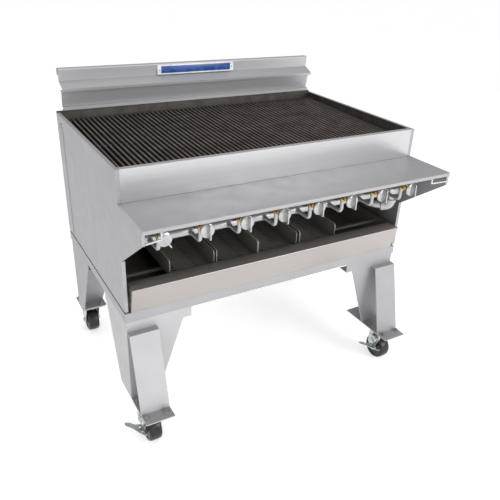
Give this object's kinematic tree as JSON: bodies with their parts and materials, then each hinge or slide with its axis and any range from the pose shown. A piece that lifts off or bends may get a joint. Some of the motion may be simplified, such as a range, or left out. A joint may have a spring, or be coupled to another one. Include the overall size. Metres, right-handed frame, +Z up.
{
  "type": "gas charbroiler",
  "caption": "Gas charbroiler on caster legs: sloping cast grates, control knobs under a front shelf, sliding drip pan, lift-out log trays and a low backsplash.",
  "frame": {"origin": "on the floor, under the middle of the machine's overall box", "axes": "+Z up, -Y towards the cook, +X to the cook's right"},
  "size_m": [1.1364, 0.9068, 1.099],
  "materials": {
    "satin_steel": "satin stainless sheet",
    "silver_paint": "matte silver-grey enamel",
    "liner_steel": "heat-darkened steel sheet",
    "cast_iron": "seasoned raw casting",
    "warm_steel": "brushed stainless, warm tone",
    "tray_steel": "dark oiled steel",
    "brass": "turned brass",
    "chrome": "polished",
    "zinc": "bright zinc plate",
    "tyre": "dark moulded wheel",
    "blank_plate": "enamelled plate, blank"
  },
  "bodies": {
    "chassis": {"front_panel": "satin_steel", "rear_panel": "satin_steel", "backsplash_upper": "satin_steel", "backsplash_lower": "satin_steel", "side_panel_left": "silver_paint", "side_panel_right": "silver_paint", "work_shelf": "silver_paint", "base_frame": "silver_paint", "manifold_pipe": "silver_paint", "gas_inlet": "silver_paint", "leg_front_left": "silver_paint", "leg_front_right": "silver_paint", "leg_rear_left": "silver_paint", "leg_rear_right": "silver_paint", "firebox_liner": "liner_steel", "name_plate": "blank_plate", "guard_rod_left": "zinc", "guard_rod_right": "zinc", "burner_valve_1": "brass", "burner_valve_2": "brass", "burner_valve_3": "brass", "burner_valve_4": "brass", "burner_valve_5": "brass", "burner_valve_6": "brass", "burner_valve_7": "brass", "burner_valve_8": "brass", "burner_twin_1": "cast_iron", "burner_twin_2": "cast_iron", "burner_twin_3": "cast_iron", "burner_twin_4": "cast_iron"},
    "knob_1": {"control_knob_1": "chrome"},
    "knob_2": {"control_knob_2": "chrome"},
    "knob_3": {"control_knob_3": "chrome"},
    "knob_4": {"control_knob_4": "chrome"},
    "knob_5": {"control_knob_5": "chrome"},
    "knob_6": {"control_knob_6": "chrome"},
    "knob_7": {"control_knob_7": "chrome"},
    "knob_8": {"control_knob_8": "chrome"},
    "grate_1": {"cooking_grate_1": "cast_iron"},
    "grate_2": {"cooking_grate_2": "cast_iron"},
    "grate_3": {"cooking_grate_3": "cast_iron"},
    "grate_4": {"cooking_grate_4": "cast_iron"},
    "grate_5": {"cooking_grate_5": "cast_iron"},
    "grate_6": {"cooking_grate_6": "cast_iron"},
    "pan": {"drip_pan": "warm_steel"},
    "tray_1": {"log_tray_1": "tray_steel"},
    "tray_2": {"log_tray_2": "tray_steel"},
    "tray_3": {"log_tray_3": "tray_steel"},
    "tray_4": {"log_tray_4": "tray_steel"},
    "caster_front_left": {"caster_fork_front_left": "zinc"},
    "wheel_front_left": {"caster_wheel_front_left": "tyre"},
    "caster_front_right": {"caster_fork_front_right": "zinc"},
    "wheel_front_right": {"caster_wheel_front_right": "tyre"},
    "caster_rear_left": {"caster_fork_rear_left": "zinc"},
    "wheel_rear_left": {"caster_wheel_rear_left": "tyre"},
    "caster_rear_right": {"caster_fork_rear_right": "zinc"},
    "wheel_rear_right": {"caster_wheel_rear_right": "tyre"},
    "brake_left": {"caster_brake_left": "zinc"},
    "brake_right": {"caster_brake_right": "zinc"}
  },
  "joints": [
    {"name": "knob_turn_1", "type": "hinge", "parent": "chassis", "child": "knob_1", "pos_m": [-0.45983, -0.42038, 0.802], "axis": [0, -1, 0], "range_deg": [-33, 57]},
    {"name": "knob_turn_2", "type": "hinge", "parent": "chassis", "child": "knob_2", "pos_m": [-0.33313, -0.42038, 0.802], "axis": [0, -1, 0], "range_deg": [0, 90]},
    {"name": "knob_turn_3", "type": "hinge", "parent": "chassis", "child": "knob_3", "pos_m": [-0.20643, -0.42038, 0.802], "axis": [0, -1, 0], "range_deg": [0, 90]},
    {"name": "knob_turn_4", "type": "hinge", "parent": "chassis", "child": "knob_4", "pos_m": [-0.07973, -0.42038, 0.802], "axis": [0, -1, 0], "range_deg": [0, 90]},
    {"name": "knob_turn_5", "type": "hinge", "parent": "chassis", "child": "knob_5", "pos_m": [0.04697, -0.42038, 0.802], "axis": [0, -1, 0], "range_deg": [0, 90]},
    {"name": "knob_turn_6", "type": "hinge", "parent": "chassis", "child": "knob_6", "pos_m": [0.17367, -0.42038, 0.802], "axis": [0, -1, 0], "range_deg": [0, 90]},
    {"name": "knob_turn_7", "type": "hinge", "parent": "chassis", "child": "knob_7", "pos_m": [0.30037, -0.42038, 0.802], "axis": [0, -1, 0], "range_deg": [0, 90]},
    {"name": "knob_turn_8", "type": "hinge", "parent": "chassis", "child": "knob_8", "pos_m": [0.42707, -0.42038, 0.802], "axis": [0, -1, 0], "range_deg": [0, 90]},
    {"name": "grate_lift_1", "type": "slide", "parent": "chassis", "child": "grate_1", "axis": [0, 0, 1], "range_m": [0, 0.08]},
    {"name": "grate_lift_2", "type": "slide", "parent": "chassis", "child": "grate_2", "axis": [0, 0, 1], "range_m": [0, 0.08]},
    {"name": "grate_lift_3", "type": "slide", "parent": "chassis", "child": "grate_3", "axis": [0, 0, 1], "range_m": [0, 0.08]},
    {"name": "grate_lift_4", "type": "slide", "parent": "chassis", "child": "grate_4", "axis": [0, 0, 1], "range_m": [0, 0.08]},
    {"name": "grate_lift_5", "type": "slide", "parent": "chassis", "child": "grate_5", "axis": [0, 0, 1], "range_m": [0, 0.08]},
    {"name": "grate_lift_6", "type": "slide", "parent": "chassis", "child": "grate_6", "axis": [0, 0, 1], "range_m": [0, 0.08]},
    {"name": "pan_slide", "type": "slide", "parent": "chassis", "child": "pan", "axis": [0, -1, 0], "range_m": [0, 0.4]},
    {"name": "tray_lift_1", "type": "slide", "parent": "pan", "child": "tray_1", "axis": [0, 0, 1], "range_m": [0, 0.1]},
    {"name": "tray_lift_2", "type": "slide", "parent": "pan", "child": "tray_2", "axis": [0, 0, 1], "range_m": [0, 0.1]},
    {"name": "tray_lift_3", "type": "slide", "parent": "pan", "child": "tray_3", "axis": [0, 0, 1], "range_m": [0, 0.1]},
    {"name": "tray_lift_4", "type": "slide", "parent": "pan", "child": "tray_4", "axis": [0, 0, 1], "range_m": [0, 0.1]},
    {"name": "swivel_front_left", "type": "hinge", "parent": "chassis", "child": "caster_front_left", "pos_m": [-0.48283, -0.32238, 0.13], "axis": [0, 0, 1], "continuous": true},
    {"name": "wheel_spin_front_left", "type": "hinge", "parent": "caster_front_left", "child": "wheel_front_left", "pos_m": [-0.48283, -0.31038, 0.04976], "axis": [1, 0, 0], "continuous": true},
    {"name": "swivel_front_right", "type": "hinge", "parent": "chassis", "child": "caster_front_right", "pos_m": [0.51917, -0.32238, 0.13], "axis": [0, 0, 1], "continuous": true},
    {"name": "wheel_spin_front_right", "type": "hinge", "parent": "caster_front_right", "child": "wheel_front_right", "pos_m": [0.51917, -0.31038, 0.04976], "axis": [1, 0, 0], "continuous": true},
    {"name": "swivel_rear_left", "type": "hinge", "parent": "chassis", "child": "caster_rear_left", "pos_m": [-0.48283, 0.39162, 0.13], "axis": [0, 0, 1], "continuous": true},
    {"name": "wheel_spin_rear_left", "type": "hinge", "parent": "caster_rear_left", "child": "wheel_rear_left", "pos_m": [-0.48283, 0.40362, 0.04976], "axis": [1, 0, 0], "continuous": true},
    {"name": "swivel_rear_right", "type": "hinge", "parent": "chassis", "child": "caster_rear_right", "pos_m": [0.51917, 0.39162, 0.13], "axis": [0, 0, 1], "continuous": true},
    {"name": "wheel_spin_rear_right", "type": "hinge", "parent": "caster_rear_right", "child": "wheel_rear_right", "pos_m": [0.51917, 0.40362, 0.04976], "axis": [1, 0, 0], "continuous": true},
    {"name": "brake_pedal_left", "type": "hinge", "parent": "caster_front_left", "child": "brake_left", "pos_m": [-0.51483, -0.32738, 0.064], "axis": [0, 1, 0], "range_deg": [0, 25]},
    {"name": "brake_pedal_right", "type": "hinge", "parent": "caster_front_right", "child": "brake_right", "pos_m": [0.48717, -0.32738, 0.064], "axis": [0, 1, 0], "range_deg": [0, 25]}
  ]
}
